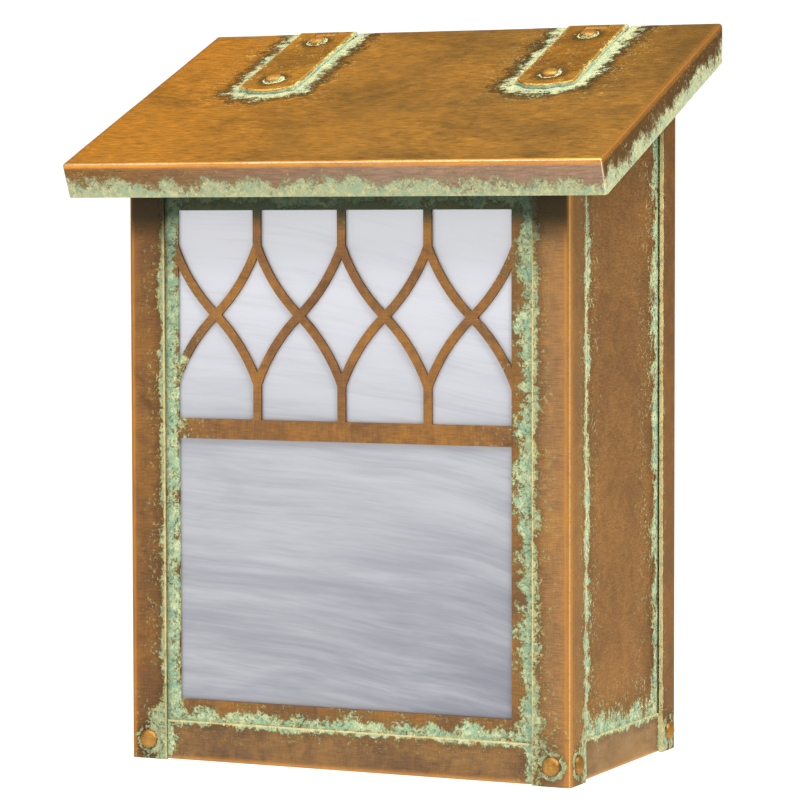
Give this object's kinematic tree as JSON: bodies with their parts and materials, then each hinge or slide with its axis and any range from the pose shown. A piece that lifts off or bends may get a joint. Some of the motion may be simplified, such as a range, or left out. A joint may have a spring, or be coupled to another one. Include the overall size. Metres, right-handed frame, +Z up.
{
  "type": "wall mounted mailbox",
  "caption": "Wall mounted letter box in patinated brass with a sloping hinged lid, riveted strap hinges and an arched tracery window backed by streaky art glass.",
  "frame": {"origin": "middle of the rectangle of wall screw holes, in the back face that lies on the wall", "axes": "+X to the right seen from the front, +Y into the wall, +Z up; the front faces -Y"},
  "size_m": [0.2766, 0.1594, 0.354],
  "materials": {
    "aged_brass": "brown patina, brushed, with green verdigris along the seams",
    "rivet_brass": "hammered, brown patina with green round the head",
    "plain_brass": "dull, unpolished",
    "art_glass": "opalescent white with grey streaks"
  },
  "bodies": {
    "case": {"back_plate": "aged_brass", "base_tray": "aged_brass", "front_panel": "aged_brass", "left_side_panel": "aged_brass", "right_side_panel": "aged_brass", "left_front_post": "aged_brass", "right_front_post": "aged_brass", "glass_pane": "art_glass", "glass_tabs": "plain_brass", "front_corner_rivets": "rivet_brass", "side_corner_rivets": "rivet_brass", "back_corner_rivets": "rivet_brass", "top_rivets": "rivet_brass", "spacer_washers": "plain_brass", "tray_back_rivets": "rivet_brass", "left_hinge_leaf": "aged_brass", "right_hinge_leaf": "aged_brass", "hinge_leaf_rivets": "rivet_brass", "left_hinge_pin": "plain_brass", "right_hinge_pin": "plain_brass"},
    "lid": {"lid_sheet": "aged_brass", "left_strap": "aged_brass", "right_strap": "aged_brass", "strap_rivets": "rivet_brass"}
  },
  "joints": [
    {"name": "lid_hinge", "type": "hinge", "parent": "case", "child": "lid", "pos_m": [0, -0.00555, 0.17228], "axis": [-1, 0, 0], "range_deg": [0, 100]}
  ]
}
